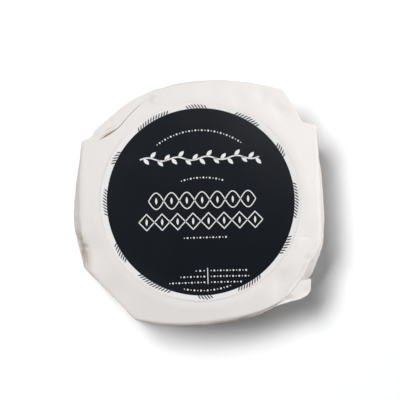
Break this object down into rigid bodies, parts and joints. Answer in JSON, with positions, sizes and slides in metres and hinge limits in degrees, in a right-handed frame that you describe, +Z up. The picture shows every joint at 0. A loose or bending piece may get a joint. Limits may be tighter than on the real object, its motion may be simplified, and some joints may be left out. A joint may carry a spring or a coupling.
{
  "type": "wrapped goat cheese",
  "caption": "Small round goat cheese folded in white paper like a parcel, with a round dark label stuck flat on its top.",
  "frame": {"origin": "on the table, under the middle of the whole object's box", "axes": "+Z up through the flat top, +X to the right and +Y away from a reader of the label"},
  "size_m": [0.1186, 0.1118, 0.0363],
  "materials": {
    "wrapping_paper": "matt white greaseproof paper, creased",
    "label_print": "semi-matt black print on white label paper"
  },
  "bodies": {
    "root": {"wrapper": "wrapping_paper", "label": "label_print"}
  },
  "joints": []
}
